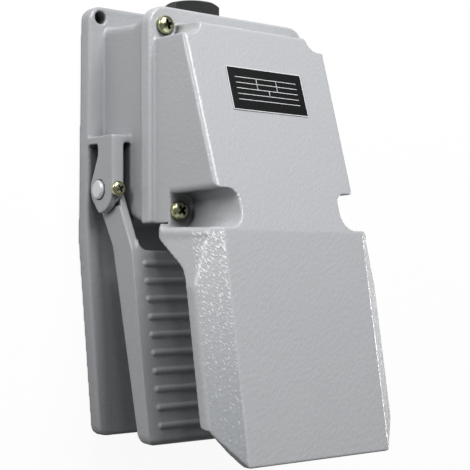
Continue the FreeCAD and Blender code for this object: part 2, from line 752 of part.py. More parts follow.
def pivot_shaft():
    """Shaft with chamfered ends, grooves for the ear screws and cross holes for its pins."""
    half = ear_outer_x + shaft_overhang
    body = rod_x(-half, half, pivot_y, pivot_z, shaft_radius)
    body = body.makeChamfer(shaft_chamfer, [e for e in body.Edges if e.BoundBox.XLength < 0.01])
    groove_half = ear_screw_diameter / 2 - 0.6 + 0.15
    ring = rod_x(ear_screw_x - groove_half, ear_screw_x + groove_half, pivot_y, pivot_z, shaft_radius + 1)
    grooves = pair(ring.cut(rod_x(0, half, pivot_y, pivot_z, shaft_radius - groove_depth)))
    pins = [rod_z(x, pivot_y, 0, 60, drive_pin_diameter / 2) for x in (-eye_middle_x, 0, eye_middle_x)]
    return body.cut(grooves + pins)


def drive_pins():
    """Spring pins that key the pedal eyes to the shaft."""
    reach = eye_radius - 0.6
    return Part.makeCompound(pair(rod_z(eye_middle_x, pivot_y, pivot_z - reach, pivot_z + reach,
                                        drive_pin_diameter / 2)))


def lever_pin():
    """Spring pin that keys the contact lever to the shaft."""
    reach = lever_hub_radius - 0.6
    return rod_z(0, pivot_y, pivot_z - reach, pivot_z + reach, drive_pin_diameter / 2)


def shaft_bushes():
    """Plain bushes in the housing's side walls."""
    inner, outer, _ = bush_places()
    ring = rod_x(inner, outer, pivot_y, pivot_z, shaft_radius + bush_wall)
    return Part.makeCompound(pair(ring.cut(rod_x(inner - 1, outer + 1, pivot_y, pivot_z,
                                                 shaft_radius + running_clearance))))


def section_ring(centre, out, across, radius):
    """Eight-sided wire round centre: out and across are the section's directions."""
    points = []
    for corner in range(9):
        angle = math.radians(45 * corner + 22.5)
        points.append(centre + out * (radius * math.cos(angle)) + across * (radius * math.sin(angle)))
    return Part.makePolygon(points)


def shaft_seals():
    """Sealing rings between the bushes and the outside."""
    outer = bush_places()[1]
    section = (bush_wall - running_clearance) / 2
    middle = Vector(outer + section + 0.05, pivot_y, pivot_z + shaft_radius + running_clearance + section)
    corner = section / math.cos(math.pi / 8)
    profile = Part.Face(section_ring(middle, Vector(0, 0, 1), Vector(1, 0, 0), corner))
    ring = profile.revolve(Vector(0, pivot_y, pivot_z), Vector(1, 0, 0), 360)
    return Part.makeCompound(pair(ring))


def contact_lever():
    """Lever pinned to the shaft; its round nose lifts the plunger."""
    half = lever_width / 2
    hub = rod_x(-half, half, pivot_y, pivot_z, lever_hub_radius)
    nose = rod_x(-half, half, nose_y, pivot_z, lever_nose_radius)
    arm_top = pivot_z + lever_nose_radius - lever_relief
    arm = box(-half, half, pivot_y, nose_y, pivot_z - lever_nose_radius, arm_top)
    bore = rod_x(-half - 1, half + 1, pivot_y, pivot_z, shaft_radius)
    return fused([hub, nose, arm]).cut([bore, rod_z(0, pivot_y, 0, 60, drive_pin_diameter / 2)])


def stop_bumper():
    """Rubber stop that the lever's nose rests on."""
    top = pivot_z - lever_nose_radius - lever_gap
    seat = top - bumper_height
    return fused([rod_z(0, nose_y, seat, top, bumper_radius),
                  rod_z(0, nose_y, housing_floor_z + 1, seat + 0.1, bumper_radius / 2)])


def plunger():
    """Plunger with foot, guide stem, collar and spring spigot."""
    stem_top = collar_seat_z + collar_height
    spigot_top = block_top_z - plunger_stroke - 0.6
    return fused([rod_z(0, nose_y, plunger_foot_z, plunger_foot_z + 2.0, plunger_stem_radius + 1.2),
                  rod_z(0, nose_y, plunger_foot_z, collar_seat_z + 0.1, plunger_stem_radius),
                  rod_z(0, nose_y, collar_seat_z, stem_top, collar_radius),
                  rod_z(0, nose_y, stem_top, spigot_top, spring_radius - spring_wire - 0.4)])


def strip_hole():
    """Room for the plunger's spigot in the contact bridge."""
    return rod_z(0, nose_y, 0, 100, spring_radius - spring_wire - 0.4)


def contact_bridge():
    """Moving contact carried on the plunger's collar."""
    seat = collar_seat_z + collar_height
    bar = box(-chamber_half_x + 1.2, chamber_half_x - 1.2,
              nose_y - contact_width / 2, nose_y + contact_width / 2, seat, seat + contact_strip)
    disc = rod_z(0, nose_y, seat, seat + contact_strip, collar_radius - 0.4)
    return fused([bar, disc]).cut(strip_hole())


def fixed_contacts():
    """Brass strips from inside the chamber out to the terminals on the block's shoulders."""
    strip = box(chamber_half_x - 4.4, block_half - 1.0, nose_y - contact_width / 2,
                nose_y + contact_width / 2, shoulder_z, shoulder_z + contact_strip)
    screw_hole = rod_z(post_x, nose_y, 0, 100, small_screw_diameter / 2)
    return Part.makeCompound(pair(strip.cut(screw_hole)))


def contact_block():
    """Moulded block: chamber for the moving contact, shoulders for the terminals, lugs for its screws."""
    lower = prism_z(box_outline(block_half, block_front_y, block_rear_y, 2.0, 2.0),
                    block_bottom_z, shoulder_z)
    crown = prism_z(box_outline(block_crown_half, block_front_y, block_rear_y, 1.5, 1.5),
                    shoulder_z - 1, block_top_z)
    chamber = box(-chamber_half_x, chamber_half_x, nose_y - chamber_half_y, nose_y + chamber_half_y,
                  collar_seat_z, block_top_z + 1)
    guide = rod_z(0, nose_y, 0, 60, plunger_stem_radius + running_clearance)
    cuts = [chamber, guide]
    for y in (post_front_y, post_rear_y):
        cuts += pair(rod_z(post_x, y, 0, 60, small_screw_diameter / 2))
    cuts += pair(rod_z(post_x, nose_y, shoulder_z - terminal_screw_length, 60, small_screw_diameter / 2))
    cuts += pair(box(chamber_half_x - 1, block_crown_half + 1, nose_y - contact_width / 2,
                     nose_y + contact_width / 2, shoulder_z, shoulder_z + contact_strip))
    return fused([lower, crown]).cut(cuts)


def block_cap():
    """Lid of the contact chamber; the spring stands against it."""
    return prism_z(box_outline(block_crown_half, block_front_y, block_rear_y, 1.5, 1.5),
                   block_top_z, block_top_z + block_cap_height)


def block_screws():
    """Screws that hold the contact block on its four posts."""
    screws = []
    for y in (post_front_y, post_rear_y):
        screws += pair(pan_screw(post_x, y, shoulder_z, small_screw_diameter,
                                 shoulder_z - block_bottom_z + post_screw_depth,
                                 small_screw_head_diameter, small_screw_head_height))
    return Part.makeCompound(screws)


def terminal_screws():
    """Screws of the two wire terminals."""
    return Part.makeCompound(pair(pan_screw(post_x, nose_y, shoulder_z + contact_strip, small_screw_diameter,
                                            terminal_screw_length, small_screw_head_diameter,
                                            small_screw_head_height)))


def earth_screw():
    """Earthing screw on the housing's floor."""
    return pan_screw(earth_x, earth_y, housing_floor_z + earth_boss_height, small_screw_diameter,
                     earth_boss_height, small_screw_head_diameter, small_screw_head_height)


def return_spring():
    """Compression spring between the contact bridge and the block's cap, its ends a coil's radius inside."""
    low = collar_seat_z + collar_height + contact_strip + spring_wire / 2
    height = block_top_z - low - spring_wire / 2
    helix = Part.makeHelix(height / spring_turns, height, spring_radius)
    section = section_ring(Vector(spring_radius, 0, 0), Vector(1, 0, 0), Vector(0, 0, 1), spring_wire / 2)
    coil = Part.Wire(helix).makePipeShell([section], True, True)
    coil.translate(Vector(0, nose_y, low))
    return coil


def hexagon(flats, y_low, y_high, turn_deg):
    """Hexagonal prism on the gland's axis with its outer rim chamfered."""
    radius = flats / math.sqrt(3)
    points = []
    for corner in range(7):
        angle = math.radians(60 * corner + turn_deg)
        points.append(Vector(gland_x + radius * math.cos(angle), y_low, gland_z + radius * math.sin(angle)))
    prism = Part.Face(Part.makePolygon(points)).extrude(Vector(0, y_high - y_low, 0))
    rim_radius = flats / 2 - 0.1
    cone_length = y_high - y_low + 1
    cone_foot = rim_radius + cone_length / math.tan(math.radians(hex_rim_deg))
    bevel = Part.makeCone(cone_foot, rim_radius, cone_length,
                          Vector(gland_x, y_low - 1, gland_z), Vector(0, 1, 0))
    return prism.common(bevel)


def gland_body():
    """Gland body: hexagon against the wall, thread through it, collar for the nut."""
    hex_end = housing_rear_y + gland_hex_length
    hexagon_part = hexagon(gland_flats, housing_rear_y, hex_end, gland_turn_deg)
    inner_end = cavity_rear_y - locknut_thickness - 1.5
    thread = rod_y(inner_end, hex_end, gland_x, gland_z, gland_thread / 2)
    collar = rod_y(hex_end - 1, hex_end + gland_nut_length - 2, gland_x, gland_z, gland_thread / 2 - 0.8)
    bore = rod_y(inner_end - 1, hex_end + gland_nut_length, gland_x, gland_z, gland_seal_diameter / 2)
    return fused([hexagon_part, thread, collar]).cut(bore)


def gland_nut():
    """Clamping nut: chamfered hexagon and short nose round the cable hole."""
    start = housing_rear_y + gland_hex_length + 0.2
    end = start + gland_nut_length
    nose = Part.makeCone(gland_nose_diameter / 2 + 1, gland_nose_diameter / 2 - 1, gland_nose_length,
                         Vector(gland_x, end, gland_z), Vector(0, 1, 0))
    body = fused([hexagon(gland_flats, start, end, gland_turn_deg), nose])
    room = rod_y(start - 1, end - 1.5, gland_x, gland_z, gland_thread / 2 - 0.8)
    return body.cut([room, rod_y(start, end + gland_nose_length + 1, gland_x, gland_z, gland_bore / 2)])


def gland_seal():
    """Rubber sleeve that grips the cable."""
    end = housing_rear_y + gland_hex_length + gland_nut_length - 1.5
    sleeve = rod_y(end - 12, end, gland_x, gland_z, gland_seal_diameter / 2)
    return sleeve.cut(rod_y(end - 13, end + 1, gland_x, gland_z, gland_bore / 2))


def gland_locknut():
    """Nut that holds the gland on the inside of the wall."""
    end = cavity_rear_y
    nut = hexagon(locknut_flats, end - locknut_thickness, end, 30)
    return nut.cut(rod_y(end - 20, end + 1, gland_x, gland_z, gland_thread / 2))


def label_plate():
    """Thin blank plate on the dome's roof."""
    outline = box_outline(label_length / 2, -label_width / 2, label_width / 2, 0.8, 0.8)
    plate = prism_z(outline, 0, label_thickness)
    plate.rotate(Vector(0, 0, 0), Vector(1, 0, 0), -dome_slope_deg)
    plate.translate(Vector(0, label_middle_y, dome_z(label_middle_y)))
    return plate


def build():
    """Every piece by its node name."""
    rear_place, front_place = cover_screw_places()
    return {
        "base_casting": base_casting(),
        "cover_casting": cover_casting(),
        "cover_gasket": cover_gasket(),
        "rear_cover_screws": cover_screws(rear_place),
        "front_cover_screws": cover_screws(front_place),
        "ear_screws": ear_screws(),
        "pedal_casting": pedal_casting(),
        "pivot_shaft": pivot_shaft(),
        "drive_pins": drive_pins(),
        "lever_pin": lever_pin(),
        "shaft_bushes": shaft_bushes(),
        "shaft_seals": shaft_seals(),
        "contact_lever": contact_lever(),
        "stop_bumper": stop_bumper(),
        "plunger": plunger(),
        "contact_bridge": contact_bridge(),
        "return_spring": return_spring(),
        "contact_block": contact_block(),
        "block_cap": block_cap(),
        "block_screws": block_screws(),
        "fixed_contacts": fixed_contacts(),
        "terminal_screws": terminal_screws(),
        "earth_screw": earth_screw(),
        "gland_body": gland_body(),
        "gland_nut": gland_nut(),
        "gland_seal": gland_seal(),
        "gland_locknut": gland_locknut(),
        "label_plate": label_plate(),
    }


os.makedirs("parts", exist_ok=True)
for name, shape in build().items():
    if not shape.isValid() or not shape.Solids:
        print("not a valid solid:", name)
    print(name, len(shape.Solids), round(shape.Volume, 1))
    shape.exportStep(f"parts/{name}.step")
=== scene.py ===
"""Looks of the industrial foot switch: painted castings, plated screws, label, gland and studio."""

import logging
import math
from dataclasses import dataclass, field
from enum import Enum

import bmesh
import bpy
from mathutils import Matrix, Vector


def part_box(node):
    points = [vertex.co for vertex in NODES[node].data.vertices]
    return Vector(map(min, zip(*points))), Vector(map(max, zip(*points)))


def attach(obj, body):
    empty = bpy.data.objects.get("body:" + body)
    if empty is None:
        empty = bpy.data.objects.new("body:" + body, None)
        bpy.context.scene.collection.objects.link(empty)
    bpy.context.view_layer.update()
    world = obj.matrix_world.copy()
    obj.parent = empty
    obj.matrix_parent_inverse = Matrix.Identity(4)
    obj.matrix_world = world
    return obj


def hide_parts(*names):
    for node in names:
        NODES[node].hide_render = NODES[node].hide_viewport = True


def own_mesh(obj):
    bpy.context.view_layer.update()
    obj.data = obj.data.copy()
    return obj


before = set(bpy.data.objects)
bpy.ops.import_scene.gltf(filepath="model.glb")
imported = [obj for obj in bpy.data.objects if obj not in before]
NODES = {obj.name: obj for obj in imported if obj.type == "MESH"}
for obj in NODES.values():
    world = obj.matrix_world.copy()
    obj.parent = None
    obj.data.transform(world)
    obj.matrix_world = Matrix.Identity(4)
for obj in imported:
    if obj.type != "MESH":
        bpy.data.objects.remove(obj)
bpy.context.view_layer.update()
LOG = logging.getLogger("foot_switch")


class Body(Enum):
    """Rigid bodies of the switch that a new piece rides on."""

    HOUSING = "housing"
    PEDAL = "pedal"


class Slot(Enum):
    """Names of material slots; the pieces below take their finishes directly instead."""

    PAINT = "casting_paint"
    ZINC = "yellow_zinc"
    LABEL = "label_finish"


def linear(red: float, green: float, blue: float, alpha: float = 1.0) -> tuple[float, float, float, float]:
    """Scene-linear colour from display values.

    Args:
        red: Red, 0 to 255.
        green: Green, 0 to 255.
        blue: Blue, 0 to 255.
        alpha: Opacity, 0 to 1.

    Returns:
        The colour with its alpha.
    """
    def channel(value: float) -> float:
        """One channel, from 0 to 255 to linear light."""
        share = value / 255
        return share / 12.92 if share <= 0.04045 else ((share + 0.055) / 1.055) ** 2.4
    return channel(red), channel(green), channel(blue), alpha


Size = tuple[float, float]
Place = tuple[float, float, float]
Colour = tuple[float, float, float]
Socket = bpy.types.NodeSocket
WHITE = (1.0, 1.0, 1.0, 1.0)


class Graph:
    """Short ways to add, set and join the nodes of one tree."""

    def __init__(self, tree: bpy.types.NodeTree) -> None:
        """Works on an existing tree.

        Args:
            tree: The shader or geometry tree.
        """
        self.tree = tree

    def add(self, kind: str, inputs: dict | None = None, **settings: object) -> bpy.types.Node:
        """Adds a node.

        Args:
            kind: Blender's type name of the node.
            inputs: Input name or index to a value, or to the output socket that feeds it.
            settings: Properties of the node.

        Returns:
            The new node.
        """
        node = self.tree.nodes.new(kind)
        for name, value in settings.items():
            setattr(node, name, value)
        for key, value in (inputs or {}).items():
            if isinstance(value, bpy.types.NodeSocket):
                self.tree.links.new(value, node.inputs[key])
            else:
                node.inputs[key].default_value = value
        return node

    def send(self, value: Socket, target: Socket) -> None:
        """Links an output socket to an input socket."""
        self.tree.links.new(value, target)

    def math(self, operation: str, first: object, second: object = 0.0, clamp: bool = False) -> Socket:
        """Adds a Math node.

        Args:
            operation: The operation's name.
            first: First value or socket.
            second: Second value or socket.
            clamp: Whether the result is kept between 0 and 1.

        Returns:
            The result's socket.
        """
        inputs = {0: first, 1: second}
        return self.add("ShaderNodeMath", inputs, operation=operation, use_clamp=clamp).outputs[0]

    def product(self, first: object, *others: object) -> Socket:
        """Multiplies values or sockets.

        Args:
            first: First factor.
            others: The other factors.

        Returns:
            The product's socket.
        """
        result = first
        for other in others:
            result = self.math("MULTIPLY", result, other)
        return result

    def total(self, first: object, *others: object) -> Socket:
        """Adds values or sockets.

        Args:
            first: First term.
            others: The other terms.

        Returns:
            The sum's socket.
        """
        result = first
        for other in others:
            result = self.math("ADD", result, other)
        return result

    def less(self, value: object, taken: object) -> Socket:
        """Subtracts a value or socket from another."""
        return self.math("SUBTRACT", value, taken)

    def joined(self, x: object = 0.0, y: object = 0.0, z: object = 0.0) -> Socket:
        """Makes a vector of three values or sockets."""
        return self.add("ShaderNodeCombineXYZ", {"X": x, "Y": y, "Z": z}).outputs[0]

    def split(self, vector: Socket) -> bpy.types.bpy_prop_collection:
        """Takes a vector apart into X, Y and Z."""
        return self.add("ShaderNodeSeparateXYZ", {0: vector}).outputs

    def moved(self, geometry: Socket, **inputs: object) -> Socket:
        """Moves, turns or scales a geometry by a Translation, Rotation or Scale."""
        return self.add("GeometryNodeTransform", {"Geometry": geometry, **inputs}).outputs[0]

    def stretched(self, vector: Socket, turn_deg: float, x: object, y: object, z: object) -> Socket:
        """Turns a vector about Z and then scales it along its axes.

        Args:
            vector: The vector.
            turn_deg: Turn in degrees.
            x: Scale along X, a value or socket.
            y: Scale along Y.
            z: Scale along Z.

        Returns:
            The new vector's socket.
        """
        inputs = {"Vector": vector, "Angle": math.radians(turn_deg)}
        turned = self.add("ShaderNodeVectorRotate", inputs, rotation_type="Z_AXIS").outputs["Vector"]
        scale = self.joined(x, y, z)
        return self.add("ShaderNodeVectorMath", {0: turned, 1: scale}, operation="MULTIPLY").outputs[0]

    def noise(self, place: Socket, rate: object, detail: float, roughness: float = 0.5,
              distortion: float = 0.0) -> Socket:
        """Adds a Noise Texture node.

        Args:
            place: Where the noise is read.
            rate: Features for each metre, a value or socket.
            detail: Number of finer layers.
            roughness: Strength of the finer layers.
            distortion: How far the pattern is warped.

        Returns:
            The noise's socket.
        """
        inputs = {"Vector": place, "Scale": rate, "Detail": detail, "Roughness": roughness,
                  "Distortion": distortion}
        return self.add("ShaderNodeTexNoise", inputs).outputs["Fac"]

    def remap(self, value: Socket, low: float, high: float, to_low: float = 0.0,
              to_high: float = 1.0) -> Socket:
        """Adds a clamped Map Range node.

        Args:
            value: What is mapped.
            low: Value that becomes to_low.
            high: Value that becomes to_high.
            to_low: Result at low.
            to_high: Result at high.

        Returns:
            The result's socket.
        """
        inputs = {"Value": value, "From Min": low, "From Max": high, "To Min": to_low, "To Max": to_high}
        return self.add("ShaderNodeMapRange", inputs).outputs["Result"]

    def blend(self, factor: object, first: object, second: object) -> Socket:
        """Adds a colour Mix node.

        Args:
            factor: Share of the second colour.
            first: First colour or socket.
            second: Second colour or socket.

        Returns:
            The mixed colour's socket.
        """
        return self.add("ShaderNodeMix", {0: factor, 6: first, 7: second}, data_type="RGBA").outputs[2]

    def bump(self, height: Socket, distance: float) -> Socket:
        """Adds a Bump node at full strength.

        Args:
            height: Height, 0 to 1.
            distance: Height of a whole step, in metres.

        Returns:
            The normal's socket.
        """
        inputs = {"Height": height, "Distance": distance, "Strength": 1.0}
        return self.add("ShaderNodeBump", inputs).outputs["Normal"]


def emptied(block: bpy.types.Material | bpy.types.World) -> Graph:
    """Switches a block's nodes on and clears them.

    Args:
        block: The material or world.

    Returns:
        The graph of its empty tree.
    """
    block.use_nodes = True
    block.node_tree.nodes.clear()
    return Graph(block.node_tree)


@dataclass(frozen=True)
class GroupSocket:
    """One socket on the outside of a node group."""

    name: str
    kind: str = "NodeSocketFloat"
    default: float | None = None
    is_input: bool = True

    def make(self, tree: bpy.types.NodeTree) -> None:
        """Adds the socket to a group's interface.

        Args:
            tree: The group.
        """
        direction = "INPUT" if self.is_input else "OUTPUT"
        socket = tree.interface.new_socket(name=self.name, in_out=direction, socket_type=self.kind)
        if self.default is not None:
            socket.default_value = self.default


class EffectGroup:
    """A shader node group that several finishes share."""

    title: str = ""
    sockets: tuple[GroupSocket, ...] = ()

    def tree(self) -> bpy.types.NodeTree:
        """Builds the group's tree the first time it is asked for.

        Returns:
            The tree.
        """
        found = bpy.data.node_groups.get(self.title)
        if found:
            return found
        tree = bpy.data.node_groups.new(self.title, "ShaderNodeTree")
        for socket in self.sockets:
            socket.make(tree)
        graph = Graph(tree)
        self.wire(graph, graph.add("NodeGroupInput"), graph.add("NodeGroupOutput"))
        return tree

    def wire(self, graph: Graph, inside: bpy.types.Node, outside: bpy.types.Node) -> None:
        """Builds what the group does.

        Args:
            graph: The group's graph.
            inside: Its input node.
            outside: Its output node.
        """
        raise NotImplementedError

    def place(self, graph: Graph, inputs: dict) -> bpy.types.Node:
        """Puts the group into a material.

        Args:
            graph: The material's graph.
            inputs: Values or sockets by input name.

        Returns:
            The group node.
        """
        return graph.add("ShaderNodeGroup", inputs, node_tree=self.tree())


class HammerGroup(EffectGroup):
    """Hammered surface of a baked coat: small slanting dimples with soft rims."""

    title = "hammered_coat"
    sockets = (GroupSocket("Vector", "NodeSocketVector"), GroupSocket("Pitch", default=0.0022),
               GroupSocket("Slant", default=0.6), GroupSocket("Height", is_input=False))
    turn_deg: float = 38.0
    flattening: float = 0.85
    grain_fineness: float = 2.3
    grain_share: float = 0.14

    def wire(self, graph: Graph, inside: bpy.types.Node, outside: bpy.types.Node) -> None:
        """Stretches a smooth noise along a diagonal and adds fine grain.

        Args:
            graph: The group's graph.
            inside: Its input node.
            outside: Its output node.
        """
        sizes = inside.outputs
        rate = graph.math("DIVIDE", 1.0, sizes["Pitch"])
        slanted = graph.stretched(sizes["Vector"], self.turn_deg, 1.0, sizes["Slant"], self.flattening)
        swell = graph.noise(slanted, rate, 0.6, roughness=0.35, distortion=0.25)
        grain = graph.noise(slanted, graph.product(rate, self.grain_fineness), 0.0)
        low = graph.product(swell, 1 - self.grain_share)
        high = graph.product(grain, self.grain_share)
        graph.send(graph.total(low, high), outside.inputs["Height"])


class CloudGroup(EffectGroup):
    """Slow, soft variation of tone over a surface."""

    title = "soft_clouds"
    sockets = (GroupSocket("Vector", "NodeSocketVector"), GroupSocket("Size", default=0.02),
               GroupSocket("Contrast", default=0.5), GroupSocket("Mask", is_input=False))

    def wire(self, graph: Graph, inside: bpy.types.Node, outside: bpy.types.Node) -> None:
        """Spreads a noise round one half by the contrast asked for.

        Args:
            graph: The group's graph.
            inside: Its input node.
            outside: Its output node.
        """
        rate = graph.math("DIVIDE", 1.0, inside.outputs["Size"])
        noise = graph.noise(inside.outputs["Vector"], rate, 3.0, roughness=0.55)
        swing = graph.product(graph.less(noise, 0.5), inside.outputs["Contrast"])
        graph.send(graph.math("ADD", swing, 0.5, clamp=True), outside.inputs["Mask"])


class PaintedGlintGroup(EffectGroup):
    """Painted highlights on the hood's sloping shoulders: bright slanting strokes that stand in for lamp
    glints, densest at their rear and along the ridge.

    A shoulder is the face between the roof's ridge and a line Span further down. Mask holds the painted
    glints, and Shade is painted shade that grows over the shoulder towards its front.
    """

    title = "shoulder_painted_glints"
    sockets = (GroupSocket("Vector", "NodeSocketVector"), GroupSocket("Pitch", default=0.00085),
               GroupSocket("Ridge", default=0.047), GroupSocket("Crease Y", default=-0.0081),
               GroupSocket("Crease Z", default=0.1031), GroupSocket("Roof Slope", default=0.1597),
               GroupSocket("Span", default=0.0172), GroupSocket("Rear", default=-0.0088),
               GroupSocket("Length", default=0.100), GroupSocket("Mask", is_input=False),
               GroupSocket("Shade", is_input=False))
    inward: Size = (0.7745, 0.6325)
    unroll: float = 0.72
    turn_deg: float = 42.0
    lengthening: float = 0.45
    drift_rate: float = 150.0
    drift_gain: float = 0.15
    level: float = 0.475
    thinning: float = 0.17
    ridge_gain: float = 0.05
    ridge_reach: float = 0.004
    stroke_edge: float = 0.07
    upper_fade: Size = (0.0003, 0.0009)
    lower_fade: float = 0.0015
    rear_fade: float = 0.0010
    faint_run: Size = (0.2, 0.9)
    faint_share: float = 0.4
    shade_run: Size = (0.45, 1.05)

    def wire(self, graph: Graph, inside: bpy.types.Node, outside: bpy.types.Node) -> None:
        """Cuts painted glints from a stretched noise, fewer and fainter to the front, and adds painted
        shade.

        Args:
            graph: The group's graph.
            inside: Its input node.
            outside: Its output node.
        """
        sizes = inside.outputs
        place = graph.split(sizes["Vector"])
        side = graph.math("ABSOLUTE", place["X"])
        ahead = graph.less(sizes["Rear"], place["Y"])
        run = graph.math("SQRT", graph.math("MAXIMUM", graph.math("DIVIDE", ahead, sizes["Length"]), 0.0))
        inset = self.inset(graph, sizes, place, side)
        across = graph.product(graph.less(place["Z"], side), self.unroll)
        strokes = self.strokes(graph, sizes["Pitch"], graph.joined(across, place["Y"]), run, inset)
        begins = graph.remap(inset, *self.upper_fade)
        ends = graph.remap(graph.less(sizes["Span"], inset), 0.0, self.lower_fade)
        face = graph.product(begins, ends, graph.remap(ahead, 0.0, self.rear_fade))
        faint = graph.remap(run, *self.faint_run, 1.0, self.faint_share)
        # Mask: painted glints. Shade below: painted shade growing towards the shoulder's front.
        graph.send(graph.product(strokes, face, faint), outside.inputs["Mask"])
        shade = graph.product(graph.remap(run, *self.shade_run), graph.product(begins, ends))
        graph.send(shade, outside.inputs["Shade"])

    def inset(self, graph: Graph, sizes: bpy.types.bpy_prop_collection,
              place: bpy.types.bpy_prop_collection, side: Socket) -> Socket:
        """Measures how far a point lies down the shoulder from its ridge.

        Args:
            graph: The group's graph.
            sizes: The group's inputs.
            place: The point's X, Y and Z.
            side: Its distance from the middle.

        Returns:
            The distance in metres.
        """
        fall = graph.product(graph.less(place["Y"], sizes["Crease Y"]), sizes["Roof Slope"])
        roof = graph.less(sizes["Crease Z"], fall)
        sunk = graph.product(graph.less(roof, place["Z"]), self.inward[1])
        outward = graph.product(graph.less(side, sizes["Ridge"]), self.inward[0])
        return graph.total(sunk, outward)

    def strokes(self, graph: Graph, pitch: Socket, flat: Socket, run: Socket, inset: Socket) -> Socket:
        """Cuts the painted glint strokes at a level that rises towards the front and drops at the ridge.

        Args:
            graph: The group's graph.
            pitch: Distance between strokes.
            flat: The point's place on the unrolled shoulder.
            run: How far forward it lies, 0 to 1.
            inset: Its distance from the ridge.

        Returns:
            The strokes, 0 to 1.
        """
        slanted = graph.stretched(flat, self.turn_deg, self.lengthening, 1.0, 1.0)
        noise = graph.noise(slanted, graph.math("DIVIDE", 1.0, pitch), 1.0, roughness=0.4, distortion=0.4)
        drift = graph.noise(flat, self.drift_rate, 1.0)
        patchy = graph.product(graph.less(drift, 0.5), self.drift_gain)
        edge = graph.remap(inset, 0.0, self.ridge_reach, -self.ridge_gain, 0.0)
        level = graph.total(self.level, graph.product(run, self.thinning), patchy, edge)
        return graph.remap(graph.less(noise, level), 0.0, self.stroke_edge)


@dataclass(frozen=True)
class Finish:
    """A plain finish with a faint change of tone and a fine surface."""

    name: str
    colour: Colour
    second: Colour
    roughness: float = 0.5
    metallic: float = 0.0
    cloud_size: float = 0.004
    grain: float = 0.00002
    grain_pitch: float = 0.0006
    # Painted shade in corners and recesses: how far it reaches, its darkest tone and where it ends.
    nook_reach: float = 0.004
    nook_shade_tone: float = 0.12
    nook_open: float = 0.85
    specular: float = 0.5
    contrast: float = 1.6
    gloss_range: Size = (0.85, 1.15)

    def material(self) -> bpy.types.Material:
        """The finish's material, built once.

        Returns:
            The material.
        """
        found = bpy.data.materials.get(self.name)
        if found:
            return found
        made = bpy.data.materials.new(self.name)
        graph = emptied(made)
        place = graph.add("ShaderNodeTexCoord").outputs["Object"]
        shader = self.shade(graph, place)
        graph.add("ShaderNodeOutputMaterial", {"Surface": shader.outputs["BSDF"]})
        return made

    def clouds(self, graph: Graph, place: Socket, size: float, contrast: float) -> Socket:
        """Places soft clouds of a size in metres and returns their mask, 0 to 1."""
        inputs = {"Vector": place, "Size": size, "Contrast": contrast}
        return CloudGroup().place(graph, inputs).outputs["Mask"]

    def hammered(self, graph: Graph, place: Socket, pitch: float, slant: float = 1.0) -> Socket:
        """Places dimples of a pitch in metres, squeezed by slant, and returns their height."""
        inputs = {"Vector": place, "Pitch": pitch, "Slant": slant}
        return HammerGroup().place(graph, inputs).outputs["Height"]

    def gloss(self, graph: Graph, mask: Socket) -> Socket:
        """Lets the roughness drift with a mask."""
        smooth, rough = (self.roughness * share for share in self.gloss_range)
        return graph.remap(mask, 0.0, 1.0, smooth, rough)

    def painted_nook_shade(self, graph: Graph, tone: Socket) -> Socket:
        """Paints shade into a colour where the surface is closed in: corners, recesses, gaps and under screw
        heads.

        Args:
            graph: The material's graph.
            tone: The colour.

        Returns:
            The darkened colour.
        """
        # Painted shade: ambient occlusion darkens the colour itself, under any lamp.
        around = graph.add("ShaderNodeAmbientOcclusion", {"Distance": self.nook_reach}).outputs["AO"]
        light = graph.remap(around, 0.0, self.nook_open, self.nook_shade_tone, 1.0)
        shade = graph.add("ShaderNodeCombineColor", {0: light, 1: light, 2: light}).outputs[0]
        return graph.add("ShaderNodeMix", {0: 1.0, 6: tone, 7: shade}, data_type="RGBA",
                         blend_type="MULTIPLY").outputs[2]

    def shade(self, graph: Graph, place: Socket) -> bpy.types.Node:
        """Builds the shader.

        Args:
            graph: The material's graph.
            place: Object coordinates.

        Returns:
            The Principled BSDF.
        """
        mask = self.clouds(graph, place, self.cloud_size, self.contrast)
        height = self.hammered(graph, place, self.grain_pitch)
        tone = graph.blend(mask, linear(*self.colour), linear(*self.second))
        inputs = {"Base Color": self.painted_nook_shade(graph, tone),
                  "Roughness": self.gloss(graph, mask),
                  "Metallic": self.metallic, "Specular IOR Level": self.specular,
                  "Normal": graph.bump(height, self.grain)}
        return graph.add("ShaderNodeBsdfPrincipled", inputs)


@dataclass(frozen=True)
class HammerPaint(Finish):
    """Grey hammered paint, baked on the castings."""

    contrast: float = 0.5
    gloss_range: Size = (0.9, 1.1)
    pitch: float = 0.0014
    depth: float = 0.00020
    slant: float = 0.55
    # The coat's painted shade in nooks reaches further and goes darker than a plain finish's.
    nook_reach: float = 0.032
    nook_shade_tone: float = 0.06
    nook_open: float = 0.66
    # Painted highlights and painted shade on the hood's shoulders: near-white glints and a darker tone.
    glint_painted: bool = False
    glint_tone: Colour = (240, 241, 242)
    shoulder_shade_tone: Colour = (162, 165, 169)

    def shade(self, graph: Graph, place: Socket) -> bpy.types.Node:
        """Builds a glossy dimpled coat, with painted glints and painted shade where it has them.

        Args:
            graph: The material's graph.
            place: Object coordinates.

        Returns:
            The Principled BSDF.
        """
        height = self.hammered(graph, place, self.pitch, self.slant)
        mask = self.clouds(graph, place, self.cloud_size, self.contrast)
        tone = graph.blend(mask, linear(*self.second), linear(*self.colour))
        if self.glint_painted:
            # Painted glints and painted shade over the shoulders go into the colour; the glints also raise
            # the bump.
            shoulder = PaintedGlintGroup().place(graph, {"Vector": place}).outputs
            painted_glints = shoulder["Mask"]
            tone = graph.blend(shoulder["Shade"], tone, linear(*self.shoulder_shade_tone))
            tone = graph.blend(painted_glints, tone, linear(*self.glint_tone))
            height = graph.total(height, painted_glints)
        inputs = {"Base Color": self.painted_nook_shade(graph, tone),
                  "Roughness": self.gloss(graph, mask),
                  "Normal": graph.bump(height, self.depth)}
        return graph.add("ShaderNodeBsdfPrincipled", inputs)


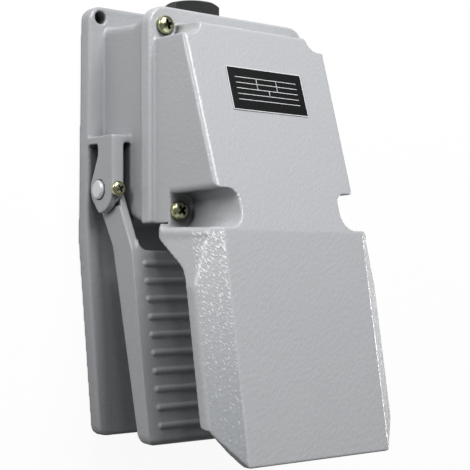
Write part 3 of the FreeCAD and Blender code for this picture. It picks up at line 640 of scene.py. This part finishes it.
@dataclass(frozen=True)
class Passivated(Finish):
    """Yellow passivated zinc with drifting gold, green and rose tints."""

    contrast: float = 2.4
    third: Colour = (176, 122, 96)
    third_share: float = 0.5
    blotch_share: float = 1 / 3
    blotch_contrast: float = 2.0
    gloss_range: Size = (0.8, 1.3)

    def shade(self, graph: Graph, place: Socket) -> bpy.types.Node:
        """Builds a bright metal whose tint drifts between three colours.

        Args:
            graph: The material's graph.
            place: Object coordinates.

        Returns:
            The Principled BSDF.
        """
        wide = self.clouds(graph, place, self.cloud_size, self.contrast)
        fine = self.clouds(graph, place, self.cloud_size * self.blotch_share, self.blotch_contrast)
        pair = graph.blend(wide, linear(*self.colour), linear(*self.second))
        tone = graph.blend(graph.product(fine, self.third_share), pair, linear(*self.third))
        height = self.hammered(graph, place, self.grain_pitch)
        inputs = {"Base Color": self.painted_nook_shade(graph, tone),
                  "Roughness": self.gloss(graph, fine),
                  "Metallic": self.metallic, "Normal": graph.bump(height, self.grain)}
        return graph.add("ShaderNodeBsdfPrincipled", inputs)


# The cover's coat carries the painted glints and painted shade on the hood's shoulders.
COVER_COAT = HammerPaint("cover_hammered_coat", (190, 192, 195), (184, 186, 189), roughness=0.26,
                         cloud_size=0.03, glint_painted=True)
# The base's and pedal's coats are the cover's paint set darker as painted shade; the base's nook shade is
# stronger.
BASE_COAT = HammerPaint("base_hammered_coat", (174, 176, 179), (168, 170, 173), roughness=0.26,
                        cloud_size=0.03, nook_shade_tone=0.05, nook_open=0.48)
PEDAL_COAT = HammerPaint("pedal_hammered_coat", (172, 174, 177), (166, 168, 171), roughness=0.28,
                         cloud_size=0.03)
YELLOW_ZINC = Passivated("yellow_passivated_zinc", (242, 240, 208), (122, 152, 98), roughness=0.2,
                         metallic=1.0, cloud_size=0.0028, third=(122, 78, 34))
BRIGHT_STEEL = Finish("turned_bright_steel", (232, 233, 235), (220, 222, 225), roughness=0.32, metallic=0.3)
SPRING_STEEL = Finish("drawn_spring_steel", (150, 152, 156), (120, 122, 126), roughness=0.35, metallic=1.0)
CONTACT_BRASS = Finish("rolled_brass", (206, 172, 92), (188, 150, 74), roughness=0.3, metallic=1.0)
BUSH_BRONZE = Finish("sintered_bronze", (150, 110, 70), (126, 90, 56), roughness=0.5, metallic=1.0)
BLACK_MOULDING = Finish("black_moulding", (30, 30, 32), (22, 22, 24), roughness=0.45)
GLAND_BLACK = Finish("gland_polyamide", (26, 27, 29), (18, 19, 21), roughness=0.38, cloud_size=0.008)
SEAL_RUBBER = Finish("seal_rubber", (34, 34, 36), (26, 26, 27), roughness=0.7)
LABEL_BLACK = Finish("label_black_face", (12, 13, 15), (8, 9, 11), roughness=0.45, cloud_size=0.01,
                     specular=0.2)
LABEL_SILVER = Finish("label_silver_edge", (232, 234, 236), (222, 224, 227), roughness=0.4)


def dress(piece: bpy.types.Object, *finishes: Finish) -> None:
    """Gives a piece its materials.

    Args:
        piece: The object.
        finishes: Its finishes, in the order of its material slots.
    """
    if piece.data.materials:
        piece.data.materials.clear()
    for finish in finishes:
        piece.data.materials.append(finish.material())


def merged_copy(node: str, name: str, reach: float = 0.00001) -> bpy.types.Mesh:
    """Copies a CAD node's mesh and joins its loose triangles.

    Args:
        node: The CAD node.
        name: Name of the new mesh.
        reach: Distance under which two corners become one.

    Returns:
        The new mesh.
    """
    work = bmesh.new()
    work.from_mesh(NODES[node].data)
    bmesh.ops.remove_doubles(work, verts=work.verts, dist=reach)
    mesh = bpy.data.meshes.new(name)
    work.to_mesh(mesh)
    work.free()
    return mesh


def new_piece(name: str, mesh: bpy.types.Mesh) -> bpy.types.Object:
    """Puts a mesh into the scene.

    Args:
        name: Name of the piece.
        mesh: Its mesh.

    Returns:
        The object, at the origin.
    """
    piece = bpy.data.objects.new(name, mesh)
    bpy.context.scene.collection.objects.link(piece)
    return piece


def baked(piece: bpy.types.Object) -> bpy.types.Object:
    """Turns a piece with modifiers into a plain mesh.

    Args:
        piece: The object with its modifiers.

    Returns:
        The same object with the result as its mesh and no modifier.
    """
    evaluated = piece.evaluated_get(bpy.context.evaluated_depsgraph_get())
    mesh = bpy.data.meshes.new_from_object(evaluated)
    piece.modifiers.clear()
    piece.data = mesh
    mesh.name = piece.name
    return piece


@dataclass
class CastingSkin:
    """A sand-cast piece whose edges are softened by its coat."""

    name: str
    node: str
    body: Body
    grid: float
    finish: Finish
    soften: int = 3
    soft_factor: float = 0.5
    face_target: int = 150000

    def build(self) -> bpy.types.Object:
        """Rebuilds the casting's surface on an even grid and softens its edges.

        Returns:
            The coated casting.
        """
        piece = new_piece(self.name, merged_copy(self.node, self.name))
        even = piece.modifiers.new("even", "REMESH")
        even.mode = "VOXEL"
        even.voxel_size = self.grid
        soft = piece.modifiers.new("soft", "SMOOTH")
        soft.factor = self.soft_factor
        soft.iterations = self.soften
        baked(piece)
        triangles = 2 * len(piece.data.polygons)
        if triangles > self.face_target:
            fewer = piece.modifiers.new("fewer", "DECIMATE")
            fewer.ratio = self.face_target / triangles
            baked(piece)
        return piece

    def finished(self) -> bpy.types.Object:
        """Builds, shades and dresses the casting, and puts it on its body.

        Returns:
            The casting.
        """
        piece = self.build()
        piece.data.shade_smooth()
        dress(piece, self.finish)
        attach(piece, self.body.value)
        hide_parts(self.node)
        LOG.info("%s: %d faces", self.name, len(piece.data.polygons))
        return piece


@dataclass
class ScrewRow:
    """Pan head screws with cross recesses, one kind, standing upright."""

    name: str
    node: str
    turns_deg: tuple[float, ...]
    head_diameter: float = 0.0100
    head_height: float = 0.0038
    shank_diameter: float = 0.005
    recess_length: float = 0.0070
    recess_width: float = 0.0021
    recess_depth: float = 0.0026
    crown_power: float = 0.62
    side_power: float = 3.2
    under_level: float = -0.001
    head_sides: int = 40
    head_rings: int = 20
    shank_sides: int = 24
    blade_ends: Size = (0.40, 0.72)
    smooth_below_deg: float = 40.0
    seats: list[Vector] = field(default_factory=list)

    def find_seats(self) -> float:
        """Reads the screws' places from their CAD node.

        Returns:
            The length of the shanks.
        """
        low, high = (Vector(corner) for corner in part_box(self.node))
        middle_y = (low.y + high.y) / 2
        out = high.x - self.head_diameter / 2
        seat_z = high.z - self.head_height
        self.seats = [Vector((-out, middle_y, seat_z)), Vector((out, middle_y, seat_z))]
        return seat_z - low.z

    def tree(self) -> bpy.types.NodeTree:
        """Builds the screw and its copies.

        Returns:
            The geometry tree with its sizes as inputs.
        """
        tree = bpy.data.node_groups.new(self.name + "_tree", "GeometryNodeTree")
        tree.interface.new_socket(name="Seats", in_out="INPUT", socket_type="NodeSocketGeometry")
        for size in ("Head Radius", "Head Height", "Shank Radius", "Shank Length", "Recess Length",
                     "Recess Width", "Recess Depth"):
            tree.interface.new_socket(name=size, in_out="INPUT", socket_type="NodeSocketFloat")
        tree.interface.new_socket(name="Finish", in_out="INPUT", socket_type="NodeSocketMaterial")
        tree.interface.new_socket(name="Screws", in_out="OUTPUT", socket_type="NodeSocketGeometry")
        graph = Graph(tree)
        sizes = graph.add("NodeGroupInput").outputs
        inputs = {"Mesh 1": self.head(graph, sizes)}
        cut = graph.add("GeometryNodeMeshBoolean", inputs, operation="DIFFERENCE", solver="EXACT")
        for blade in self.cross(graph, sizes):
            graph.send(blade, cut.inputs["Mesh 2"])
        screw = graph.add("GeometryNodeJoinGeometry")
        graph.send(cut.outputs["Mesh"], screw.inputs[0])
        graph.send(self.shank(graph, sizes), screw.inputs[0])
        turn = graph.add("GeometryNodeInputNamedAttribute", {"Name": "turn"}, data_type="FLOAT").outputs[0]
        inputs = {"Points": sizes["Seats"], "Instance": screw.outputs[0], "Rotation": graph.joined(z=turn)}
        copies = graph.add("GeometryNodeInstanceOnPoints", inputs).outputs[0]
        real = graph.add("GeometryNodeRealizeInstances", {"Geometry": copies}).outputs[0]
        inputs = {"Geometry": real, "Material": sizes["Finish"]}
        dressed = graph.add("GeometryNodeSetMaterial", inputs).outputs[0]
        graph.add("NodeGroupOutput", {"Screws": dressed})
        return tree

    def shank(self, graph: Graph, sizes: bpy.types.bpy_prop_collection) -> Socket:
        """Makes the plain shank, hanging from the seat.

        Args:
            graph: The tree's graph.
            sizes: The tree's inputs.

        Returns:
            The shank's mesh.
        """
        drop = graph.joined(z=graph.product(sizes["Shank Length"], -0.5))
        inputs = {"Vertices": self.shank_sides, "Radius": sizes["Shank Radius"],
                  "Depth": sizes["Shank Length"]}
        rod = graph.add("GeometryNodeMeshCylinder", inputs).outputs["Mesh"]
        return graph.moved(rod, Translation=drop)

    def head(self, graph: Graph, sizes: bpy.types.bpy_prop_collection) -> Socket:
        """Turns a pan head: a short cylinder with a flattened dome.

        Args:
            graph: The tree's graph.
            sizes: The tree's inputs.

        Returns:
            The head's mesh.
        """
        inputs = {"Segments": self.head_sides, "Rings": self.head_rings, "Radius": 1.0}
        ball = graph.add("GeometryNodeMeshUVSphere", inputs).outputs["Mesh"]
        parts = graph.split(graph.add("GeometryNodeInputPosition").outputs[0])
        lifted = graph.math("MAXIMUM", parts["Z"], 0.0)
        height = graph.product(graph.math("POWER", lifted, self.crown_power), sizes["Head Height"])
        across = graph.less(1.0, graph.math("POWER", lifted, self.side_power))
        spread = graph.math("SQRT", graph.math("MAXIMUM", across, 0.0))
        flat = graph.joined(parts["X"], parts["Y"])
        around = graph.add("ShaderNodeVectorMath", {0: flat}, operation="NORMALIZE").outputs[0]
        radius = graph.product(spread, sizes["Head Radius"])
        below = graph.math("LESS_THAN", parts["Z"], self.under_level)
        out_share = graph.add("ShaderNodeVectorMath", {0: flat}, operation="LENGTH").outputs["Value"]
        under = graph.product(out_share, sizes["Head Radius"])
        chosen = graph.add("ShaderNodeMix", {0: below, 2: radius, 3: under}, data_type="FLOAT").outputs[0]
        inputs = {0: around, "Scale": chosen}
        moved = graph.split(graph.add("ShaderNodeVectorMath", inputs, operation="SCALE").outputs[0])
        spot = graph.joined(moved["X"], moved["Y"], height)
        return graph.add("GeometryNodeSetPosition", {"Geometry": ball, "Position": spot}).outputs[0]

    def cross(self, graph: Graph, sizes: bpy.types.bpy_prop_collection) -> list[Socket]:
        """Makes the two tapered blades that cut the cross recess.

        Args:
            graph: The tree's graph.
            sizes: The tree's inputs.

        Returns:
            The two blades.
        """
        blades = []
        lower, upper = self.blade_ends
        stretch = graph.joined(sizes["Recess Length"], sizes["Recess Width"],
                               graph.product(sizes["Recess Depth"], 2.0))
        lift = graph.joined(z=graph.less(sizes["Head Height"], sizes["Recess Depth"]))
        for turn_deg in (0.0, 90.0):
            inputs = {"Vertices": 4, "Radius Top": upper, "Radius Bottom": lower, "Depth": 1.0}
            cone = graph.add("GeometryNodeMeshCone", inputs).outputs["Mesh"]
            square = graph.moved(cone, Rotation=(0.0, 0.0, math.radians(45.0)))
            blade = graph.moved(square, Translation=lift, Scale=stretch)
            blades.append(graph.moved(blade, Rotation=(0.0, 0.0, math.radians(turn_deg))))
        return blades

    def build(self) -> bpy.types.Object:
        """Grows the screws on their seats and bakes them.

        Returns:
            The screws as one mesh.
        """
        shank_length = self.find_seats()
        mesh = bpy.data.meshes.new(self.name)
        mesh.from_pydata([tuple(seat) for seat in self.seats], [], [])
        turns = mesh.attributes.new("turn", "FLOAT", "POINT")
        for index, turn in enumerate(self.turns_deg):
            turns.data[index].value = math.radians(turn)
        piece = new_piece(self.name, mesh)
        tree = self.tree()
        grow = piece.modifiers.new("grow", "NODES")
        grow.node_group = tree
        values = {"Head Radius": self.head_diameter / 2, "Head Height": self.head_height,
                  "Shank Radius": self.shank_diameter / 2, "Shank Length": shank_length,
                  "Recess Length": self.recess_length, "Recess Width": self.recess_width,
                  "Recess Depth": self.recess_depth, "Finish": YELLOW_ZINC.material()}
        for socket in tree.interface.items_tree:
            if socket.name in values and socket.in_out == "INPUT":
                grow[socket.identifier] = values[socket.name]
        return baked(piece)

    def finished(self) -> bpy.types.Object:
        """Builds and dresses the screws in place of their CAD node.

        Returns:
            The screws.
        """
        piece = self.build()
        piece.data.shade_smooth()
        piece.data.set_sharp_from_angle(angle=math.radians(self.smooth_below_deg))
        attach(piece, Body.HOUSING.value)
        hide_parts(self.node)
        LOG.info("%s: %d faces", self.name, len(piece.data.polygons))
        return piece


@dataclass
class LabelPlate:
    """Thin plate on the dome: black face inside a bare silver edge."""

    node: str = "label_plate"
    edge: float = 0.00045
    corner: float = 0.0008
    face_step: float = 0.00004
    face_floor: float = 0.0001
    corner_steps: int = 4
    thickness: float = 0.0006
    table_side: float = 0.092
    table_top: float = 0.235
    row_pitch: float = 0.129
    row_count: int = 5
    line_width: float = 0.00032
    columns: tuple[tuple[float, int, int], ...] = ((0.368, 0, 2), (0.632, 0, 2), (0.515, 2, 3))

    def slab(self, work: bmesh.types.BMesh, low: Size, high: Size, level: Size, corner: float,
             slot: int) -> None:
        """Adds a thin block with rounded corners.

        Args:
            work: The mesh being made.
            low: Lowest corner on the plate, in metres.
            high: Highest corner on the plate.
            level: Lower and upper height.
            corner: Corner radius.
            slot: Material slot.
        """
        outline = []
        steps = self.corner_steps
        centres = [(high[0] - corner, high[1] - corner), (low[0] + corner, high[1] - corner),
                   (low[0] + corner, low[1] + corner), (high[0] - corner, low[1] + corner)]
        for quarter, (x, y) in enumerate(centres):
            for step in range(steps + 1):
                angle = math.pi / 2 * (quarter + step / steps)
                outline.append((x + corner * math.cos(angle), y + corner * math.sin(angle)))
        lower = [work.verts.new((x, y, level[0])) for x, y in outline]
        upper = [work.verts.new((x, y, level[1])) for x, y in outline]
        faces = [work.faces.new(upper), work.faces.new(lower[::-1])]
        count = len(outline)
        for index in range(count):
            following = (index + 1) % count
            faces.append(work.faces.new((lower[index], lower[following], upper[following], upper[index])))
        for face in faces:
            face.material_index = slot

    def table(self, work: bmesh.types.BMesh, half_length: float, half_width: float, level: Size) -> None:
        """Adds the ruled lines of the plate's empty table.

        Args:
            work: The mesh being made.
            half_length: Half the plate's length.
            half_width: Half its width.
            level: Lower and upper height of the lines.
        """
        half_line = self.line_width / 2
        corner = half_line / 2
        shares = [self.table_top + self.row_pitch * row for row in range(self.row_count)]
        rows = [half_width * (1 - 2 * share) for share in shares]
        end = half_length * (1 - 2 * self.table_side)
        for row in rows:
            self.slab(work, (-end, row - half_line), (end, row + half_line), level, corner, 1)
        for share, upper, lower in self.columns:
            across = half_length * (2 * share - 1)
            self.slab(work, (across - half_line, rows[lower]), (across + half_line, rows[upper]), level,
                      corner, 1)

    def build(self) -> bpy.types.Object:
        """Makes the plate flat and lays it on the sloping roof.

        Returns:
            The plate.
        """
        low, high = (Vector(corner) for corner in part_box(self.node))
        half_length = (high.x - low.x) / 2
        run, rise = high.y - low.y, high.z - low.z
        slope = math.atan2(rise - self.thickness, run)
        half_width = (run - self.thickness * math.sin(slope)) / math.cos(slope) / 2
        work = bmesh.new()
        top = self.thickness - self.face_step
        self.slab(work, (-half_length, -half_width), (half_length, half_width), (0.0, top - self.face_step),
                  self.corner, 1)
        inner_x, inner_y = half_length - self.edge, half_width - self.edge
        self.slab(work, (-inner_x, -inner_y), (inner_x, inner_y), (self.face_floor, top), self.corner / 2, 0)
        self.table(work, half_length, half_width, (self.face_floor, top + self.face_step / 2))
        mesh = bpy.data.meshes.new("label")
        work.to_mesh(mesh)
        work.free()
        turn = Matrix.Rotation(-slope, 4, "X")
        centred = Matrix.Translation((0.0, 0.0, -self.thickness / 2))
        mesh.transform(Matrix.Translation((low + high) / 2) @ turn @ centred)
        return new_piece("label", mesh)

    def finished(self) -> bpy.types.Object:
        """Builds and dresses the label in place of its CAD node.

        Returns:
            The plate.
        """
        piece = self.build()
        dress(piece, LABEL_BLACK, LABEL_SILVER)
        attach(piece, Body.HOUSING.value)
        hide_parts(self.node)
        LOG.info("label: %d faces", len(piece.data.polygons))
        return piece


@dataclass
class ReturnSpring:
    """Coil spring over the plunger."""

    name: str = "coil_spring"
    node: str = "return_spring"
    joint: str = "plunger_slide"

    def finished(self) -> bpy.types.Object:
        """Copies the spring, dresses it and puts it on the housing.

        Returns:
            The spring.
        """
        piece = new_piece(self.name, merged_copy(self.node, self.name))
        piece.data.shade_smooth()
        dress(piece, SPRING_STEEL)
        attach(piece, Body.HOUSING.value)
        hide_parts(self.node)
        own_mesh(piece)
        return piece


@dataclass
class PlainParts:
    """Pieces that keep their CAD form and get a finish alone."""

    finishes: dict[str, Finish] = field(default_factory=lambda: {
        "cover_gasket": SEAL_RUBBER, "pivot_shaft": BRIGHT_STEEL, "drive_pins": SPRING_STEEL,
        "lever_pin": SPRING_STEEL, "shaft_bushes": BUSH_BRONZE, "shaft_seals": SEAL_RUBBER,
        "contact_lever": BRIGHT_STEEL, "stop_bumper": SEAL_RUBBER, "plunger": BLACK_MOULDING,
        "contact_bridge": CONTACT_BRASS, "contact_block": BLACK_MOULDING, "block_cap": BLACK_MOULDING,
        "block_screws": BRIGHT_STEEL, "fixed_contacts": CONTACT_BRASS, "terminal_screws": CONTACT_BRASS,
        "earth_screw": YELLOW_ZINC, "gland_body": GLAND_BLACK, "gland_nut": GLAND_BLACK,
        "gland_seal": SEAL_RUBBER, "gland_locknut": GLAND_BLACK})

    def finished(self) -> None:
        """Dresses each node with its finish."""
        for node, finish in self.finishes.items():
            dress(NODES[node], finish)
            LOG.info("%s: %s", node, finish.name)


@dataclass
class PhotoCamera:
    """Camera at the viewpoint that the object's own edges give."""

    image_px: float = 470.0
    focal_px: float = 1210.46
    centre_px: Size = (234.24, 235.19)
    position: Place = (-0.41444, -0.03245, 0.55999)
    forward: Place = (0.63223414, 0.03658106, -0.77391332)
    up: Place = (-0.01987513, 0.99932179, 0.03099896)
    sensor_mm: float = 36.0
    near_limit: float = 0.01

    def build(self) -> None:
        """Adds the camera and makes it the scene's."""
        data = bpy.data.cameras.new("photo_camera")
        data.sensor_fit = "HORIZONTAL"
        data.sensor_width = self.sensor_mm
        data.lens = self.focal_px * self.sensor_mm / self.image_px
        half = self.image_px / 2
        data.shift_x = (half - self.centre_px[0]) / self.image_px
        data.shift_y = (self.centre_px[1] - half) / self.image_px
        data.clip_start = self.near_limit
        camera = bpy.data.objects.new("photo_camera", data)
        bpy.context.scene.collection.objects.link(camera)
        ahead = Vector(self.forward).normalized()
        right = ahead.cross(Vector(self.up)).normalized()
        up = right.cross(ahead)
        turn = Matrix((right, up, -ahead)).transposed().to_4x4()
        camera.matrix_world = Matrix.Translation(self.position) @ turn
        bpy.context.scene.camera = camera


@dataclass(frozen=True)
class SoftLamp:
    """Rectangular soft lamp that points at the switch."""

    name: str
    place: Place
    size: Size
    power: float
    aim: Place = (0.0, -0.01, 0.05)

    def build(self) -> None:
        """Adds the lamp."""
        data = bpy.data.lights.new(self.name, "AREA")
        data.shape = "RECTANGLE"
        data.size, data.size_y = self.size
        data.energy = self.power
        lamp = bpy.data.objects.new(self.name, data)
        bpy.context.scene.collection.objects.link(lamp)
        lamp.location = self.place
        ahead = Vector(self.aim) - Vector(self.place)
        lamp.rotation_euler = ahead.to_track_quat("-Z", "Y").to_euler()


@dataclass
class Studio:
    """White paper floor, pale world and soft lamps."""

    floor_half: float = 6.0
    floor_gap: float = 0.0002
    paper: Colour = (215, 215, 215)
    shadow_share: float = 0.10
    paper_glow: float = 1.04
    # Painted shade on the floor: within shade_reach its glow is black below closed_in and full above
    # open_air.
    closed_in: float = 0.2
    open_air: float = 0.4
    shade_reach: float = 0.02
    world_level: float = 0.03
    world_tint: Colour = (0.97, 0.985, 1.0)
    glossy_share: float = 0.2
    lamps: tuple[SoftLamp, ...] = (
        SoftLamp("key_lamp", (0.0, 0.70, 0.84), (0.55, 0.55), 10.5),
        SoftLamp("low_lamp", (-1.029, 0.594, 0.197), (0.50, 0.28), 4.9),
        SoftLamp("edge_lamp", (-0.504, 0.645, 0.908), (0.16, 0.16), 1.4),
        SoftLamp("arm_lamp", (-0.237, 1.027, 0.593), (0.15, 0.15), 0.7),
        SoftLamp("far_lamp", (0.90, -0.02, 0.10), (0.30, 0.10), 2.6, (0.0, -0.05, 0.10)),
    )

    def floor(self) -> None:
        """Lays the paper floor: white to the camera, a faint shadow, and painted shade where it is closed
        in.
        """
        half = self.floor_half
        mesh = bpy.data.meshes.new("paper_floor")
        corners = [(-half, -half), (half, -half), (half, half), (-half, half)]
        mesh.from_pydata([(x, y, -self.floor_gap) for x, y in corners], [], [(0, 1, 2, 3)])
        piece = new_piece("paper_floor", mesh)
        paper = bpy.data.materials.new("white_paper")
        graph = emptied(paper)
        ray = graph.add("ShaderNodeLightPath").outputs
        seen = graph.math("MAXIMUM", ray["Is Camera Ray"], ray["Is Transmission Ray"])
        share = graph.product(seen, 1.0 - self.shadow_share)
        matt = graph.add("ShaderNodeBsdfDiffuse", {"Color": linear(*self.paper)}).outputs[0]
        # Painted shade: occlusion darkens the floor's white glow under the switch and inside its holes.
        around = graph.add("ShaderNodeAmbientOcclusion", {"Distance": self.shade_reach}).outputs["AO"]
        clear = graph.remap(around, self.closed_in, self.open_air, 0.0, self.paper_glow)
        white = graph.add("ShaderNodeEmission", {"Color": WHITE, "Strength": clear}).outputs[0]
        mixed = graph.add("ShaderNodeMixShader", {0: share, 1: matt, 2: white}).outputs[0]
        graph.add("ShaderNodeOutputMaterial", {"Surface": mixed})
        mesh.materials.append(paper)

    def world(self) -> None:
        """Lights the scene evenly, white behind the object."""
        world = bpy.data.worlds.new("pale_world")
        graph = emptied(world)
        ray = graph.add("ShaderNodeLightPath").outputs
        inputs = {"Color": (*self.world_tint, 1.0), "Strength": self.world_level}
        lit = graph.add("ShaderNodeBackground", inputs)
        white = graph.add("ShaderNodeBackground", {"Color": WHITE, "Strength": 1.0})
        plain = graph.math("MAXIMUM", ray["Is Camera Ray"], ray["Is Transmission Ray"])
        seen = graph.math("MAXIMUM", plain, graph.product(ray["Is Glossy Ray"], self.glossy_share))
        mixed = graph.add("ShaderNodeMixShader", {0: seen, 1: lit.outputs[0], 2: white.outputs[0]})
        graph.add("ShaderNodeOutputWorld", {"Surface": mixed.outputs[0]})
        bpy.context.scene.world = world

    def build(self) -> None:
        """Sets up floor, world, lamps and view transform."""
        self.floor()
        self.world()
        for lamp in self.lamps:
            lamp.build()
        bpy.context.scene.view_settings.view_transform = "Standard"


def main() -> None:
    """Builds the sub-assemblies in order, then the studio and the camera."""
    logging.basicConfig(level=logging.INFO, format="%(name)s: %(message)s")
    castings = (
        CastingSkin("coated_base", "base_casting", Body.HOUSING, grid=0.00065, finish=BASE_COAT),
        CastingSkin("coated_cover", "cover_casting", Body.HOUSING, grid=0.0006, finish=COVER_COAT),
        CastingSkin("coated_pedal", "pedal_casting", Body.PEDAL, grid=0.0004, finish=PEDAL_COAT, soften=2),
    )
    for casting in castings:
        casting.finished()
    screws = (
        ScrewRow("rear_screws", "rear_cover_screws", turns_deg=(20.0, 65.0)),
        ScrewRow("front_screws", "front_cover_screws", turns_deg=(40.0, 10.0)),
        ScrewRow("ear_lock_screws", "ear_screws", turns_deg=(30.0, 75.0), head_diameter=0.008,
                 head_height=0.0032, shank_diameter=0.004, recess_length=0.0055, recess_width=0.0014,
                 recess_depth=0.0020),
    )
    for row in screws:
        row.finished()
    LabelPlate().finished()
    ReturnSpring().finished()
    PlainParts().finished()
    Studio().build()
    PhotoCamera().build()


if __name__ == "__main__":
    main()
